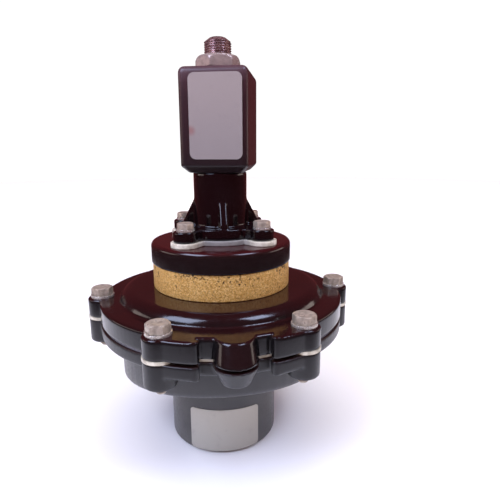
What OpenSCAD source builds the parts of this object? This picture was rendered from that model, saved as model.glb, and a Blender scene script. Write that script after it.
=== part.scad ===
// Two-stage pulse valve for dust collectors: solenoid pilot on top, exhaust silencer ring,
// bolted cover with the main diaphragm, right-angle body.
// Millimetres. +Z is up, -Y is the front, the origin is the centre of the outlet mouth.

/* [Valve body] */
// Height of the body's joint face above the outlet mouth
body_h = 93; // [88:1:100]
// Outer radius of the outlet barrel
barrel_r = 39; // [37:0.5:41]
// Chamfer round the outside of the outlet mouth
mouth_chamfer = 1.5; // [0.5:0.25:2]
// Minor radius of the two-inch pipe threads
port_r = 28.33; // [27:0.01:29]
// Length of each pipe thread
port_thread_l = 26; // [20:1:30]
// Radius of the air passages behind the threads
passage_r = 26; // [24:0.5:27]
// Outer radius of the bowl under the flange
belly_r = 73; // [71:0.5:75]
// Depth of the bowl's floor, outside, under the joint face at the valve's axis
belly_depth = 46; // [43:0.5:49]
// Slope of the bowl's floor, down towards the inlet
belly_slope = 11; // [8:0.5:14]
// Rounding of the bowl's lower edge
belly_edge = 6; // [4:0.5:8]
// Wall of the bowl
belly_wall = 6.5; // [5:0.5:8]
// Outer radius of the tube that carries the main seat
seat_tube_r = 31; // [30:0.5:33]
// Depth of the inlet's axis under the joint face
inlet_depth = 45; // [43:0.5:47]
// Outer radius of the inlet hub
inlet_hub_r = 37; // [36:0.5:38]
// Distance of the inlet's mouth from the valve's axis
inlet_reach = 104; // [100:1:112]

/* [Flange] */
// Radius of the flange's plain wall
flange_r = 86; // [85:0.5:88]
// Thickness of the body's flange
body_flange_t = 8.5; // [7:0.5:10]
// Height of the cover's flange
cover_flange_t = 12.8; // [11:0.2:15]
// Rounding of the flange edges
flange_edge = 1.5; // [0.5:0.25:2.5]
// Radius of the circle that the cover bolts stand on
bolt_circle_r = 85; // [84:0.5:86]
// Number of cover bolts
cover_bolts_n = 6; // [6:6:6]
// Radius of the round lug at each bolt
lug_r = 10; // [9:0.5:11]
// Depth of a body lug below the joint face
body_lug_h = 17; // [14:0.5:20]
// How far the two wide front pads stand out of the flange's plain wall
pad_proud = 7; // [5.5:0.5:9]
// Angle from a front bolt to the far end of its wide pad
pad_span = 17; // [14:0.5:19]
// Radius of the front boss at the joint face
front_boss_r = 13; // [11:0.5:14]
// Radius of the front boss at its upper end
front_boss_top_r = 11.5; // [10:0.5:13]
// Radius of the front boss at its lower end
front_boss_low_r = 8; // [6:0.5:10]
// Distance of the front boss's centre from the axis, at the joint face
front_boss_y = 88; // [86:0.5:90]
// Depth of the front boss below the joint face
front_boss_depth = 11; // [9:0.5:13]
// Lean of the front boss towards the axis over the cover's height
front_boss_lean = 5; // [2:0.5:6]

/* [Cover] */
// Height of the domed middle above the joint face of the cover
dome_h = 20; // [18:0.5:24]
// Radius of the flat on top of the dome
dome_flat_r = 63.5; // [60:0.5:66]
// Rounding of the dome's edge
dome_edge = 9; // [7:0.5:10]
// Wall of the dome
dome_wall = 5.5; // [4.5:0.25:6.5]
// Radius of the pressure chamber
chamber_r = 62; // [60:0.5:64]
// Rounding in the chamber's upper corner
chamber_edge = 5; // [3:0.5:6]
// Radius of the vent bore in the middle of the dome
vent_bore_r = 14; // [13:0.25:15]
// Wall of the collar round the vent bore
vent_collar_wall = 5; // [4:0.5:6]
// Height of the collar round the vent bore
vent_collar_h = 6; // [4:0.5:8]
// Radius of the four bosses that take the pilot bolts
pilot_boss_r = 5.6; // [5:0.2:5.8]
// Height of the four bosses
pilot_boss_h = 11; // [8:0.5:13]

/* [Main diaphragm] */
// Thickness of the main diaphragm
diaphragm_t = 2; // [1.5:0.25:3]
// Radius of the diaphragm between its ears
diaphragm_r = 84.5; // [83:0.5:85.5]
// How far each ear stands out of the lugs
ear_proud = 0.3; // [0:0.1:0.6]
// Mid radius of the rolled convolution
roll_r = 53; // [51:0.5:55]
// Mid radius of the convolution's half-round section
roll_section = 4; // [3:0.5:5]
// Radius of the upper clamp plate
upper_plate_r = 44; // [41:0.5:46]
// Thickness of the upper clamp plate
upper_plate_t = 3; // [2:0.25:4]
// Radius of the lower clamp plate
lower_plate_r = 24; // [22:0.5:25]
// Thickness of the lower clamp plate
lower_plate_t = 3; // [2:0.25:4]
// Radius of the bolt through the plates
centre_bolt_r = 5; // [4:0.5:6]
// Width across the flats of the centre bolt and nut
centre_hex = 16; // [14:0.5:17]
// Height of the centre nut
centre_nut_h = 5; // [4:0.5:6]
// Height of the centre bolt's head
centre_head_h = 6; // [5:0.5:8]
// Travel of the main valve
main_travel = 9; // [7:0.5:10]
// Wire of the main spring
main_wire = 2.2; // [1.6:0.1:2.6]
// Radius of the main spring at its narrow upper end
main_spring_top_r = 20; // [18:0.5:24]
// Radius of the main spring at its wide lower end
main_spring_low_r = 38; // [34:0.5:41]

/* [Silencer] */
// Outer radius of the sintered ring
ring_r = 48.7; // [47:0.1:50]
// Inner radius of the sintered ring
ring_bore_r = 42; // [41.5:0.25:43]
// Height of the sintered ring
ring_h = 17.7; // [15:0.1:20]
// Outer radius of the exhaust housing above the ring
exhaust_r = 49.4; // [48.5:0.1:51]
// Height of the exhaust housing
exhaust_h = 14.3; // [12:0.1:17]
// Rounding of the exhaust housing's top edge
exhaust_edge = 3; // [1.5:0.25:4]
// Depth of the lip that centres the sintered ring
ring_lip = 2; // [1:0.25:3]
// Wall of the lip
ring_lip_wall = 3.5; // [2.5:0.25:4]
// Radius of the bore in the pilot seat
nozzle_bore_r = 9.5; // [8:0.25:10.5]
// Wall of the pilot seat
nozzle_wall = 3; // [2.5:0.25:3.5]
// Outer radius of the exhaust channel round the pilot seat
exhaust_channel_r = 22.5; // [21:0.5:24]
// Depth of the exhaust channel
exhaust_channel_h = 9.5; // [7:0.5:11]
// Radius of an exhaust port
exhaust_port_r = 3.2; // [2.5:0.1:3.6]
// Number of exhaust ports
exhaust_ports_n = 8; // [6:1:9]

/* [Pilot] */
// Half the spacing of the four pilot bolts
pilot_bolt_s = 25.3; // [24.5:0.1:26]
// Radius of a pilot lug
pilot_lug_r = 8.2; // [7.5:0.1:9]
// How much each side of an arm to a pilot lug is drawn in from the lug
pilot_arm_in = 0.8; // [0.4:0.1:2]
// Thickness of the pilot diaphragm at its rim
pilot_diaphragm_t = 3.2; // [2.5:0.1:4]
// How far the pilot diaphragm stands out round the flange
pilot_rim_proud = 1.7; // [0.8:0.1:2]
// Thickness of the pilot diaphragm's thin web
pilot_web_t = 1.2; // [0.8:0.1:1.6]
// Radius of the pad in the pilot diaphragm's middle
pilot_pad_r = 13.5; // [12.8:0.1:14]
// Thickness of the pilot flange
pilot_flange_t = 7.2; // [6:0.2:9]
// Radius of the round middle of the pilot flange
pilot_flange_r = 27.5; // [26:0.25:29]
// Radius of the pilot body's neck
neck_r = 18.5; // [18:0.1:19.5]
// Height of the pilot body with its neck
pilot_body_h = 43.8; // [41:0.2:50]
// Reach of the gusset ribs from the axis
gusset_reach = 26.5; // [25:0.25:27.5]
// Height of the gusset ribs above the flange
gusset_h = 19; // [15:0.5:22]
// Thickness of the gusset ribs
gusset_t = 5; // [4:0.25:6]
// Radius of the pilot chamber
pilot_chamber_r = 22; // [21:0.5:23]
// Depth of the pilot chamber
pilot_chamber_h = 5.6; // [5.4:0.1:6.5]
// Radius of the pilot plate
pilot_plate_r = 12; // [11:0.5:13]
// Thickness of the pilot plate
pilot_plate_t = 2; // [1.5:0.1:2.2]
// Travel of the pilot valve
pilot_travel = 3; // [2:0.1:3]
// Radius of the pilot spring's pocket
pilot_pocket_r = 8; // [7.5:0.25:9]
// Depth of the pilot spring's pocket
pilot_pocket_h = 8; // [7:0.5:10]
// Wire of the pilot spring
pilot_wire = 0.9; // [0.7:0.1:1.1]
// Radius of the bleed way up to the solenoid seat
bleed_r = 1.5; // [1:0.1:2]
// Radius of the solenoid seat
solenoid_seat_r = 3.2; // [2.8:0.1:4]
// Radius of the vent hole at the back of the neck
vent_r = 2.5; // [2:0.1:2.6]

/* [Solenoid] */
// Outer radius of the guide tube
tube_r = 8.85; // [8.5:0.05:8.9]
// Wall of the guide tube
tube_wall = 1.1; // [0.8:0.05:1.3]
// Radius of the guide tube's foot
tube_foot_r = 12.4; // [12:0.1:13]
// Thickness of the guide tube's foot
tube_foot_t = 3; // [2:0.25:3.5]
// Thickness of the ring nut that holds the foot
retainer_t = 5; // [4:0.25:6]
// Radial play of the plunger in the guide tube
plunger_play = 0.08; // [0.05:0.01:0.1]
// Length of the plunger
plunger_l = 38; // [34:0.5:42]
// Travel of the plunger
plunger_travel = 2; // [1.5:0.1:2.5]
// Radius of the plunger's rubber seal
plunger_seal_r = 4.5; // [4.2:0.1:5]
// Thickness of the plunger's rubber seal
plunger_seal_t = 2.5; // [2:0.1:3]
// Radius of the plunger spring's pocket
plunger_pocket_r = 4.2; // [4:0.1:4.5]
// Depth of the pocket in the plunger
plunger_pocket_h = 12; // [10:0.5:14]
// Depth of the pocket in the fixed core
core_pocket_h = 6; // [5:0.5:8]
// Wire of the plunger spring
plunger_wire = 0.7; // [0.5:0.05:0.8]
// Radius of the threaded stub on the fixed core
stub_r = 9; // [8.95:0.05:9.2]
// Height of the stub above its nut
stub_h = 11.1; // [9:0.1:13]
// Radius of the flat on the stub's end
stub_flat_r = 5; // [4:0.25:6]
// Height of the chamfer on the stub's end
stub_chamfer = 3; // [2:0.25:3.5]

/* [Coil] */
// Width of the coil housing
coil_w = 45; // [44:0.5:47]
// Reach of the coil housing to the front of the axis
coil_front = 22.5; // [22:0.5:24]
// Reach of the coil housing to the back of the axis
coil_back = 34; // [34:0.5:37]
// Height of the coil housing
coil_h = 66.5; // [63:0.5:72]
// Rounding of the coil housing's edges
coil_edge = 4; // [3:0.25:5]
// Height of the sloped underside of the coil housing
coil_hip_h = 4.5; // [3:0.25:6]
// How far the sloped underside draws in
coil_hip_in = 4.5; // [3:0.25:6]
// Angle by which the coil is turned on its tube
coil_turn = -15; // [-40:1:40]
// Radius of the bobbin's flanges
bobbin_r = 19.8; // [18.5:0.1:20]
// Wall of the bobbin
bobbin_wall = 1.4; // [1:0.1:1.8]
// Outer radius of the copper winding
winding_r = 18; // [16:0.25:18.5]
// Thickness of the steel yoke
yoke_t = 2; // [1.5:0.25:2.5]
// Width of the yoke's upright strap
yoke_w = 20; // [16:1:24]
// Cover of plastic over the yoke, above and below
coil_skin = 3.5; // [3:0.25:4.5]
// Radius of the bore in the conduit entry
conduit_r = 9.25; // [9:0.05:9.5]
// Wall of the conduit entry
conduit_wall = 3.25; // [3:0.25:4]
// Depth of the conduit entry's bore
conduit_l = 12; // [10:0.5:12]
// Radius of the terminal well behind the conduit entry's bore
terminal_well_r = 8; // [7:0.25:9]
// Depth of the terminal well
terminal_well_l = 5.5; // [5.25:0.25:6]
// How far the conduit entry stands out of the coil
conduit_out = 8; // [8:0.5:10]
// Height of the conduit entry's axis above the coil's foot
conduit_z = 21; // [19:0.5:30]
// Width of a terminal blade
blade_w = 4.8; // [4:0.1:6]
// Thickness of a terminal blade
blade_t = 0.8; // [0.6:0.1:1]
// Spacing of the terminal blades
blade_pitch = 5; // [4:0.25:6]
// Free length of a terminal blade
blade_l = 5; // [4:0.25:5.25]
// Depth of a terminal blade in the plastic
blade_root = 2; // [1.5:0.25:2]

/* [Coil nut] */
// Width of the coil nut across its flats
coil_nut_hex = 26; // [25:0.5:28]
// Height of the coil nut
coil_nut_h = 8.2; // [7:0.1:10]
// Chamfer height on the coil nut's corners
coil_nut_chamfer = 2.4; // [1:0.1:3]
// Thickness of the spring washer under the coil nut
coil_washer_t = 0.8; // [0.6:0.1:1.2]
// Outer radius of the spring washer
coil_washer_r = 12.5; // [12:0.1:13]
// Angle by which the nut is turned
coil_nut_turn = -32; // [-60:1:60]

/* [Fasteners] */
// Shank radius of a cover bolt
cover_bolt_r = 4; // [3.5:0.1:4.2]
// Length of a cover bolt under its head
cover_bolt_l = 38; // [36:0.5:42]
// Width of a cover bolt's head across its flats
cover_bolt_hex = 13; // [12:0.25:14]
// Height of a cover bolt's head
cover_bolt_head_h = 5.3; // [4.5:0.1:6]
// Outer radius of a cover bolt's washer
cover_washer_r = 8; // [7.7:0.1:8.5]
// Thickness of a cover bolt's washer
cover_washer_t = 1.6; // [1.2:0.1:2]
// Shank radius of a pilot bolt
pilot_bolt_r = 3; // [2.8:0.1:3.2]
// Length of a pilot bolt under its head
pilot_bolt_l = 43; // [41:0.5:45]
// Width of a pilot bolt's head across its flats
pilot_bolt_hex = 10; // [9:0.25:10.5]
// Height of a pilot bolt's head
pilot_bolt_head_h = 4; // [3.5:0.1:5]
// Outer radius of a pilot bolt's washer
pilot_washer_r = 6; // [5.6:0.1:6.4]
// Thickness of a pilot bolt's washer
pilot_washer_t = 1.4; // [1:0.1:1.8]

/* [Seals] */
// Section radius of the nozzle's ring seal
nozzle_seal_section = 1; // [0.8:0.05:1.2]
// Section radius of the guide tube's ring seal
tube_seal_section = 0.8; // [0.6:0.05:0.9]

/* [Fits] */
// Play of a bolt in its hole, and of a piece laid in a recess
fit_play = 0.1; // [0.05:0.05:0.2]
// Gap between pieces that move past each other
run_gap = 0.3; // [0.2:0.05:0.5]
// Air left beyond a travel before two pieces would meet
stop_gap = 0.2; // [0.1:0.05:0.4]

/* [Hidden] */
$fn = 96;
blend_fn = 32;
shell_fn = 64;
wire_sides = 8;
overlap = 0.5;
right_angle = 90;
full_turn = 360;

cover_z = body_h + diaphragm_t;
rim_top_z = cover_z + cover_flange_t;
dome_z = cover_z + dome_h;
ceiling_z = dome_z - dome_wall;
exhaust_z = dome_z + ring_h;
pilot_seat_z = exhaust_z + exhaust_h;
pilot_z = pilot_seat_z + pilot_diaphragm_t;
pilot_flange_z = pilot_z + pilot_flange_t;
neck_top_z = pilot_z + pilot_body_h;
coil_top_z = neck_top_z + coil_h;
coil_nut_z = coil_top_z + coil_washer_t;
stub_z = coil_nut_z + coil_nut_h;
top_z = stub_z + stub_h;

belly_z = body_h - belly_depth;
inlet_z = body_h - inlet_depth;
pad_r = flange_r + pad_proud;
nozzle_r = nozzle_bore_r + nozzle_wall;
nozzle_foot_r = vent_bore_r - fit_play;
nozzle_foot_z = dome_z + stop_gap;
nozzle_seal_z = dome_z + vent_collar_h / 2;
pad_corner_r = 3;
front_bolts = [-120, -60];
front_turn = -90;

pilot_ceiling_z = pilot_z + pilot_chamber_h;
pilot_pocket_z = pilot_ceiling_z + pilot_pocket_h;
tube_foot_z = neck_top_z - retainer_t - tube_foot_t;
seal_ledge_z = tube_foot_z - 2 * tube_seal_section;
seal_ledge_r = tube_foot_r - 2 * tube_seal_section - 2 * fit_play;
socket_r = tube_foot_r + fit_play;
solenoid_well_h = 4.4;
solenoid_well_z = seal_ledge_z - solenoid_well_h;
solenoid_seat_z = seal_ledge_z - stop_gap;
tube_bore_r = tube_r - tube_wall;
plunger_z = solenoid_seat_z + stop_gap;
plunger_top_z = plunger_z + plunger_l;
core_z = plunger_top_z + plunger_travel + stop_gap;
tube_top_z = coil_top_z - 2 * coil_washer_t;
shading_ring_wall = 1.2;
shading_ring_h = 1.2;
shading_ring_r = 6.4;

coil_bore_r = tube_r + run_gap;
yoke_low_z = neck_top_z + coil_skin;
yoke_top_z = coil_top_z - coil_skin;
bobbin_z = yoke_low_z + yoke_t;
bobbin_top_z = yoke_top_z - yoke_t;
strap_y = bobbin_r + fit_play;
conduit_mouth_y = coil_back + conduit_out;
conduit_floor_y = conduit_mouth_y - conduit_l;
blade_foot_y = conduit_floor_y - terminal_well_l;
blade_turns = [-1, 0, 1];

// Radius of a hexagon's corners from its width across the flats
function hex_r(flats) = flats / 2 / cos(30);

// Points of a round wire's section, at an angle along its coil
function wire_ring(r, z, turn, wire) = [
    for (k = [0 : wire_sides - 1])
        let (a = full_turn * k / wire_sides, d = r + wire / 2 * cos(a))
            [d * cos(turn), d * sin(turn), z + wire / 2 * sin(a)]
];

// Children repeated round the axis
module around(n, r, start = 0) {
    for (i = [0 : n - 1])
        rotate(start + full_turn / n * i)
            translate([r, 0, 0])
                children();
}

// Children at the four pilot bolts
module at_pilot_bolts() {
    for (x = [-pilot_bolt_s, pilot_bolt_s], y = [-pilot_bolt_s, pilot_bolt_s])
        translate([x, y, 0])
            children();
}

// Round bar or hole between two heights
module post(r, low, high) {
    translate([0, 0, low])
        cylinder(r = r, h = high - low);
}

// Flat ring between two heights
module ring(outer, inner, low, high) {
    difference() {
        post(outer, low, high);
        post(inner, low - overlap, high + overlap);
    }
}

// Wedge of the flange between two angles
module wedge(from, to, low, high) {
    reach = 2 * flange_r;
    translate([0, 0, low])
        linear_extrude(height = high - low)
            polygon([[0, 0], reach * [cos(from), sin(from)], reach * [cos(to), sin(to)]]);
}

// Disc with one rounded edge, at the top or at the bottom
module rounded_disc(r, low, high, edge, edge_on_top = true) {
    corner_z = edge_on_top ? high - edge : low + edge;
    rotate_extrude() {
        translate([0, edge_on_top ? low : low + edge])
            square([r, high - low - edge]);
        translate([0, low])
            square([r - edge, high - low]);
        translate([r - edge, corner_z])
            intersection() {
                circle(r = edge);
                translate([0, -edge])
                    square([edge, 2 * edge]);
            }
    }
}

// Wide pad that runs from a front bolt towards the front boss
module front_pad(bolt, low, high, edge_on_top) {
    side = bolt < front_turn ? 1 : -1;
    far = bolt + side * (pad_span - asin(pad_corner_r / pad_r));
    intersection() {
        rounded_disc(pad_r, low, high, flange_edge, edge_on_top);
        wedge(min(bolt, far), max(bolt, far), low, high);
    }
    rotate(far)
        translate([pad_r - pad_corner_r, 0, low])
            cylinder(r = pad_corner_r, h = high - low);
}

// Flange with its round lugs and the two wide pads at the front
module flange(low, high, lug_low, edge_on_top) {
    rounded_disc(flange_r, low, high, flange_edge, edge_on_top);
    around(cover_bolts_n, bolt_circle_r)
        rounded_disc(lug_r, lug_low, high, flange_edge, edge_on_top);
    for (bolt = front_bolts)
        front_pad(bolt, low, high, edge_on_top);
}

// Bowl with a floor that slopes down towards the inlet
module belly() {
    hull() {
        translate([0, 0, body_h - body_flange_t])
            cylinder(r = belly_r, h = body_flange_t / 2, $fn = shell_fn);
        translate([0, 0, belly_z])
            rotate([-belly_slope, 0, 0]) {
                cylinder(r = belly_r - belly_edge, h = belly_edge, $fn = shell_fn);
                translate([0, 0, belly_edge])
                    rotate_extrude($fn = shell_fn)
                        translate([belly_r - belly_edge, 0])
                            circle(r = belly_edge, $fn = blend_fn);
            }
    }
}

// Annular inlet chamber inside the bowl
module inlet_chamber() {
    difference() {
        intersection() {
            post(belly_r - belly_wall, 0, body_h + overlap);
            translate([0, 0, belly_z + belly_wall])
                rotate([-belly_slope, 0, 0])
                    cylinder(r = 2 * belly_r, h = body_h);
        }
        post(seat_tube_r, 0, body_h + 2 * overlap);
    }
}

// Way in from the inlet's mouth to the chamber
module inlet_way() {
    translate([0, 0, inlet_z])
        rotate([-right_angle, 0, 0]) {
            difference() {
                post(passage_r, 0, inlet_reach);
                rotate([right_angle, 0, 0])
                    cylinder(r = barrel_r - mouth_chamfer, h = 4 * passage_r, center = true);
            }
            post(port_r, inlet_reach - port_thread_l, inlet_reach + overlap);
        }
}

// Way out through the seat tube and the outlet's thread
module outlet_way() {
    post(passage_r, port_thread_l, body_h + overlap);
    post(port_r, -overlap, port_thread_l);
}

module valve_body() {
    color("#2b2a2c")
        difference() {
            union() {
                translate([0, 0, mouth_chamfer])
                    cylinder(r = barrel_r, h = belly_z);
                cylinder(r1 = barrel_r - mouth_chamfer, r2 = barrel_r, h = mouth_chamfer);
                belly();
                flange(body_h - body_flange_t, body_h, body_h - body_lug_h, false);
                translate([0, -front_boss_y, body_h - front_boss_depth])
                    cylinder(r1 = front_boss_low_r, r2 = front_boss_r, h = front_boss_depth);
                translate([0, 0, inlet_z])
                    rotate([-right_angle, 0, 0])
                        post(inlet_hub_r, passage_r, inlet_reach);
            }
            inlet_chamber();
            inlet_way();
            outlet_way();
            around(cover_bolts_n, bolt_circle_r)
                post(cover_bolt_r + fit_play, 0, body_h + overlap);
        }
}

module main_diaphragm() {
    web_r = roll_r - roll_section - diaphragm_t / 2;
    color("#d8d0bd")
        difference() {
            union() {
                difference() {
                    post(diaphragm_r, body_h, cover_z);
                    post(roll_r + roll_section, body_h - overlap, cover_z + overlap);
                }
                around(cover_bolts_n, bolt_circle_r)
                    post(lug_r + ear_proud, body_h, cover_z);
                rotate_extrude()
                    translate([roll_r, body_h])
                        intersection() {
                            difference() {
                                circle(r = roll_section + diaphragm_t / 2);
                                circle(r = roll_section - diaphragm_t / 2);
                            }
                            translate([-2 * roll_section, 0])
                                square([4 * roll_section, 2 * roll_section]);
                        }
                post(web_r + diaphragm_t / 2, body_h, cover_z);
            }
            post(centre_bolt_r + run_gap, 0, cover_z + roll_section);
            around(cover_bolts_n, bolt_circle_r)
                post(cover_bolt_r + fit_play, 0, cover_z + overlap);
        }
}

module lower_clamp_plate() {
    color("silver")
        difference() {
            rounded_disc(lower_plate_r, body_h - lower_plate_t, body_h, lower_plate_t / 3, false);
            post(centre_bolt_r + fit_play, 0, body_h + overlap);
        }
}

module upper_clamp_plate() {
    spring_seat_r = main_spring_low_r + main_wire / 2 + run_gap;
    color("silver")
        difference() {
            union() {
                post(upper_plate_r, cover_z, cover_z + upper_plate_t);
                ring(upper_plate_r, spring_seat_r, cover_z, cover_z + upper_plate_t + main_wire / 2);
            }
            post(centre_bolt_r + fit_play, 0, cover_z + 2 * upper_plate_t);
        }
}

module centre_bolt() {
    head_z = body_h - lower_plate_t - centre_head_h;
    color("silver") {
        translate([0, 0, head_z])
            cylinder(r = hex_r(centre_hex), h = centre_head_h, $fn = 6);
        post(centre_bolt_r, head_z + centre_head_h - overlap, cover_z + upper_plate_t + centre_nut_h + 1);
    }
}

module centre_nut() {
    color("silver")
        translate([0, 0, cover_z + upper_plate_t])
            difference() {
                cylinder(r = hex_r(centre_hex), h = centre_nut_h, $fn = 6);
                post(centre_bolt_r + fit_play / 2, -overlap, centre_nut_h + overlap);
            }
}

// Coiled wire between two heights, with flat end turns
module coil_spring(low_r, top_r, low, high, wire, turns, steps) {
    total = turns * steps;
    climb = high - low - wire - 2 * stop_gap;
    rings = [
        for (i = [0 : total])
            let (f = i / total, ends = 1 / turns, g = min(1, max(0, (f - ends / 2) / (1 - ends))))
                wire_ring(
                    low_r + (top_r - low_r) * f,
                    low + wire / 2 + stop_gap + climb * g,
                    full_turn * turns * f,
                    wire
                )
    ];
    points = [for (r = rings, p = r) p];
    skin = [
        for (i = [0 : total - 1], k = [0 : wire_sides - 1])
            let (n = (k + 1) % wire_sides, a = i * wire_sides, b = a + wire_sides)
                each [[a + k, b + n, b + k], [a + k, a + n, b + n]]
    ];
    caps = [
        [for (k = [wire_sides - 1 : -1 : 0]) k],
        [for (k = [0 : wire_sides - 1]) total * wire_sides + k]
    ];
    polyhedron(points, concat(skin, caps));
}

module main_spring() {
    color("gainsboro")
        coil_spring(
            main_spring_low_r, main_spring_top_r, cover_z + upper_plate_t, ceiling_z, main_wire, 3, 32
        );
}

// Boss at the front that carries the bleed way past the diaphragm
module cover_front_boss() {
    hull() {
        translate([0, -front_boss_y, cover_z])
            cylinder(r = front_boss_r, h = overlap, $fn = blend_fn);
        translate([0, front_boss_lean - front_boss_y, rim_top_z - overlap])
            cylinder(r = front_boss_top_r, h = overlap, $fn = blend_fn);
    }
}

module top_cover() {
    color("#2a2022")
        difference() {
            union() {
                flange(cover_z, rim_top_z, cover_z, true);
                rounded_disc(dome_flat_r + dome_edge, cover_z, dome_z, dome_edge);
                cover_front_boss();
                post(vent_bore_r + vent_collar_wall, dome_z - overlap, dome_z + vent_collar_h);
                at_pilot_bolts()
                    post(pilot_boss_r, dome_z - overlap, dome_z + pilot_boss_h);
            }
            rounded_disc(chamber_r, cover_z - overlap, ceiling_z, chamber_edge);
            post(vent_bore_r, cover_z, dome_z + vent_collar_h + overlap);
            at_pilot_bolts()
                post(pilot_bolt_r + fit_play, ceiling_z + dome_wall / 3, dome_z + pilot_boss_h + overlap);
            around(cover_bolts_n, bolt_circle_r)
                post(cover_bolt_r + fit_play, 0, rim_top_z + overlap);
        }
}

// Hex-headed bolt, head up, with its seat at a height
module hex_bolt(r, l, flats, head_h, seat) {
    tip = r / 4;
    translate([0, 0, seat])
        cylinder(r = hex_r(flats), h = head_h, $fn = 6);
    post(r, seat - l + tip, seat + head_h / 2);
    translate([0, 0, seat - l])
        cylinder(r1 = r - tip, r2 = r, h = tip);
}

module cover_bolts() {
    color("#a9a294")
        around(cover_bolts_n, bolt_circle_r)
            hex_bolt(
                cover_bolt_r, cover_bolt_l, cover_bolt_hex, cover_bolt_head_h, rim_top_z + cover_washer_t
            );
}

module cover_washers() {
    color("#c9c3b6")
        around(cover_bolts_n, bolt_circle_r)
            ring(cover_washer_r, cover_bolt_r + fit_play, rim_top_z, rim_top_z + cover_washer_t);
}

module silencer_ring() {
    color("#d0a050")
        ring(ring_r, ring_bore_r, dome_z, exhaust_z);
}

module exhaust_housing() {
    floor_z = pilot_seat_z - exhaust_channel_h;
    lip_r = ring_bore_r - fit_play;
    port_circle_r = (nozzle_r + exhaust_channel_r) / 2;
    color("#1d1518")
        difference() {
            union() {
                rounded_disc(exhaust_r, exhaust_z, pilot_seat_z, exhaust_edge);
                ring(lip_r, lip_r - ring_lip_wall, exhaust_z - ring_lip, exhaust_z + overlap);
                post(nozzle_foot_r, nozzle_foot_z, exhaust_z + overlap);
            }
            ring(exhaust_channel_r, nozzle_r, floor_z, pilot_seat_z + overlap);
            post(nozzle_bore_r, nozzle_foot_z - overlap, pilot_seat_z + overlap);
            around(exhaust_ports_n, port_circle_r, full_turn / exhaust_ports_n / 2)
                post(exhaust_port_r, exhaust_z - overlap, floor_z + overlap);
            at_pilot_bolts()
                post(pilot_bolt_r + fit_play, exhaust_z - 2 * ring_lip, pilot_seat_z + overlap);
            nozzle_groove();
        }
}

// Groove for the ring seal on the nozzle's foot
module nozzle_groove() {
    half = nozzle_seal_section + fit_play;
    ring(
        nozzle_foot_r + overlap, nozzle_foot_r - 2 * nozzle_seal_section,
        nozzle_seal_z - half, nozzle_seal_z + half
    );
}

module nozzle_seal() {
    color("#202020")
        translate([0, 0, nozzle_seal_z])
            rotate_extrude()
                translate([nozzle_foot_r - nozzle_seal_section + fit_play / 2, 0])
                    circle(r = nozzle_seal_section - fit_play / 2);
}

// Outline of the pilot flange: a round middle with four lugs
module pilot_outline(grow) {
    circle(r = pilot_flange_r + grow);
    at_pilot_bolts()
        circle(r = pilot_lug_r + grow);
    for (turn = [45, 135])
        rotate(turn)
            square(
                [2 * sqrt(2) * pilot_bolt_s, 2 * (pilot_lug_r - pilot_arm_in + grow)], center = true
            );
}

module pilot_diaphragm() {
    web_low = pilot_seat_z + (pilot_diaphragm_t - pilot_web_t) / 2;
    web_high = web_low + pilot_web_t;
    color("#c9c2ae")
        difference() {
            translate([0, 0, pilot_seat_z])
                linear_extrude(height = pilot_diaphragm_t)
                    pilot_outline(pilot_rim_proud);
            ring(pilot_chamber_r, pilot_pad_r, web_high, pilot_z + overlap);
            ring(pilot_chamber_r, pilot_pad_r, pilot_seat_z - overlap, web_low);
            post(pilot_bolt_r + run_gap, 0, pilot_z + overlap);
            at_pilot_bolts()
                post(pilot_bolt_r + fit_play, 0, pilot_z + overlap);
        }
}

module pilot_plate() {
    color("silver")
        ring(pilot_plate_r, pilot_bolt_r + fit_play, pilot_z, pilot_z + pilot_plate_t);
}

module pilot_rivet() {
    flange_t = pilot_plate_t / 2;
    color("#b5a642") {
        post(pilot_bolt_r, pilot_seat_z - flange_t, pilot_z + pilot_plate_t);
        post(pilot_bolt_r + 2, pilot_seat_z - flange_t, pilot_seat_z);
    }
}

module pilot_spring() {
    spring_r = pilot_pocket_r - pilot_wire / 2 - run_gap;
    color("gainsboro")
        coil_spring(
            spring_r, spring_r, pilot_z + pilot_plate_t, pilot_pocket_z, pilot_wire, 4, 24
        );
}

// Gusset rib from the neck down to the flange
module gusset() {
    foot = pilot_flange_z - overlap;
    rotate([right_angle, 0, 0])
        linear_extrude(height = gusset_t, center = true)
            polygon([
                [0, foot], [gusset_reach, foot], [gusset_reach, pilot_flange_z + gusset_t / 2],
                [neck_r - overlap, pilot_flange_z + gusset_h], [0, pilot_flange_z + gusset_h]
            ]);
}

module pilot_body() {
    color("#150a0e")
        difference() {
            union() {
                translate([0, 0, pilot_z])
                    linear_extrude(height = pilot_flange_t)
                        pilot_outline(0);
                post(neck_r, pilot_z, neck_top_z);
                for (turn = [0 : right_angle : 3 * right_angle])
                    rotate(turn)
                        gusset();
            }
            post(pilot_chamber_r, pilot_z - overlap, pilot_ceiling_z);
            post(pilot_pocket_r, pilot_z, pilot_pocket_z);
            ring(seal_ledge_r, solenoid_seat_r, solenoid_well_z, seal_ledge_z + overlap);
            post(seal_ledge_r, solenoid_seat_z, seal_ledge_z + overlap);
            post(socket_r, seal_ledge_z, neck_top_z + overlap);
            post(bleed_r, pilot_pocket_z - overlap, seal_ledge_z);
            translate([0, 0, solenoid_well_z + vent_r])
                rotate([-right_angle, 0, 0])
                    post(vent_r, solenoid_seat_r + 2, neck_r + overlap);
            at_pilot_bolts()
                post(pilot_bolt_r + fit_play, pilot_z - overlap, pilot_flange_z + overlap);
        }
}

module pilot_bolts() {
    color("#a9a294")
        at_pilot_bolts()
            hex_bolt(
                pilot_bolt_r, pilot_bolt_l, pilot_bolt_hex, pilot_bolt_head_h,
                pilot_flange_z + pilot_washer_t
            );
}

module pilot_washers() {
    color("#dcd8ce")
        at_pilot_bolts()
            ring(
                pilot_washer_r, pilot_bolt_r + fit_play, pilot_flange_z, pilot_flange_z + pilot_washer_t
            );
}

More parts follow.
